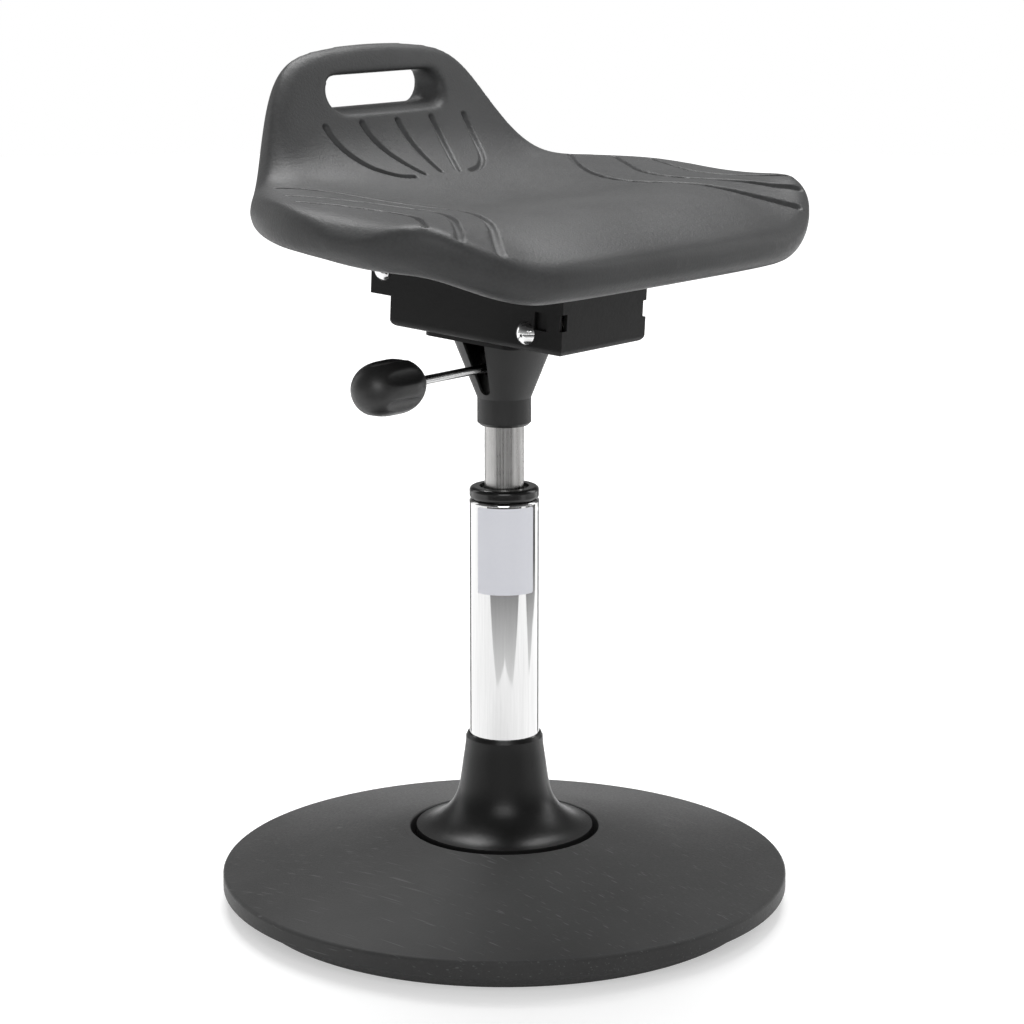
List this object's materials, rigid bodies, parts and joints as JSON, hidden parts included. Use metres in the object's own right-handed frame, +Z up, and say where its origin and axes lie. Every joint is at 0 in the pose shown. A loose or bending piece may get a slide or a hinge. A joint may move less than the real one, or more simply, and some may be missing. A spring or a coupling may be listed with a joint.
{
  "type": "wobble stool",
  "caption": "Height-adjustable leaning stool with a moulded seat and grip, a sprung column on a heavy round foot and a lever-released gas lift.",
  "frame": {"origin": "on the column axis at floor level, in the plane of the foot ring's underside", "axes": "+Z up along the column, the seat's front towards -Y, the sitter's left towards +X, the lever at -X"},
  "size_m": [0.444, 0.406, 0.6071],
  "materials": {
    "base_skin": "matte",
    "foot_rubber": "matte",
    "cast_weight": "painted",
    "zinc_steel": "zinc plated",
    "buffer_rubber": "matte",
    "bearing_plastic": "natural",
    "column_chrome": "polished",
    "skirt_plastic": "satin",
    "bush_plastic": "matte",
    "tube_steel": "satin",
    "black_steel": "satin powder coat",
    "cap_chrome": "polished",
    "knob_plastic": "satin",
    "seat_foam": "fine grain"
  },
  "bodies": {
    "base": {"base_cover": "base_skin", "cover_collar": "base_skin", "base_plate": "cast_weight", "foot_ring": "foot_rubber", "cover_screws": "zinc_steel", "pivot_stud": "zinc_steel", "stud_washer": "zinc_steel", "stud_nut": "zinc_steel", "rubber_buffer": "buffer_rubber"},
    "wobble_liner": {"ball_liner": "bearing_plastic"},
    "column": {"hub": "zinc_steel", "socket_ring": "zinc_steel", "stand_tube": "column_chrome", "skirt": "skirt_plastic", "collar": "skirt_plastic", "guide_bush": "bush_plastic", "tube_floor": "zinc_steel", "bearing_washer_lower": "zinc_steel", "ball_cage": "zinc_steel"},
    "piston": {"bearing_washer_upper": "zinc_steel", "piston_rod": "zinc_steel", "rod_clip": "zinc_steel", "rod_bumper": "buffer_rubber", "piston_head": "zinc_steel"},
    "lift": {"pressure_tube": "tube_steel", "end_guide": "bush_plastic", "rod_seal": "buffer_rubber", "valve_body": "zinc_steel", "taper_sleeve": "black_steel", "cone": "black_steel", "lever_pin": "zinc_steel", "mount_plate": "black_steel", "tray": "black_steel", "flange_bolts": "zinc_steel", "front_axle": "zinc_steel", "axle_caps": "cap_chrome", "tilt_buffer_right": "buffer_rubber", "tilt_buffer_left": "buffer_rubber"},
    "pin": {"release_pin": "zinc_steel"},
    "lever": {"lever_rod": "tube_steel", "lever_knob": "knob_plastic"},
    "seat": {"seat_channel": "black_steel", "axle_bushes": "bearing_plastic", "cross_pin": "zinc_steel", "cross_spacer": "zinc_steel", "cross_caps": "cap_chrome", "seat_insert": "black_steel", "seat_bolts": "zinc_steel", "seat": "seat_foam"}
  },
  "joints": [
    {"name": "wobble_side", "type": "hinge", "parent": "base", "child": "wobble_liner", "pos_m": [0, 0, 0.03], "axis": [0, 1, 0], "range_deg": [-6, 6], "stiffness_Nm_per_rad": 900, "deforming": ["rubber_buffer"]},
    {"name": "wobble_forward", "type": "hinge", "parent": "wobble_liner", "child": "column", "pos_m": [0, 0, 0.03], "axis": [1, 0, 0], "range_deg": [-6, 6], "stiffness_Nm_per_rad": 900, "deforming": ["rubber_buffer"]},
    {"name": "swivel", "type": "hinge", "parent": "column", "child": "piston", "pos_m": [0, 0, 0.09], "axis": [0, 0, 1], "continuous": true},
    {"name": "lift", "type": "slide", "parent": "piston", "child": "lift", "axis": [0, 0, 1], "range_m": [-0.04, 0.09]},
    {"name": "lever_pivot", "type": "hinge", "parent": "lift", "child": "lever", "pos_m": [-0.013, 0, 0.3893], "axis": [0, 1, 0], "range_deg": [0, 8], "stiffness_Nm_per_rad": 4, "springref_deg": -6.88},
    {"name": "release", "type": "slide", "parent": "lift", "child": "pin", "axis": [0, 0, -1], "range_m": [0, 0.002], "stiffness_N_per_m": 2000},
    {"name": "seat_tip", "type": "hinge", "parent": "lift", "child": "seat", "pos_m": [0, -0.05567, 0.422], "axis": [1, 0, 0], "range_deg": [-3, 3], "stiffness_Nm_per_rad": 700, "deforming": ["tilt_buffer_right", "tilt_buffer_left"]}
  ],
  "couplings": [
    {"joint": "release", "follows": "lever_pivot", "m_per_rad": 0.013}
  ]
}
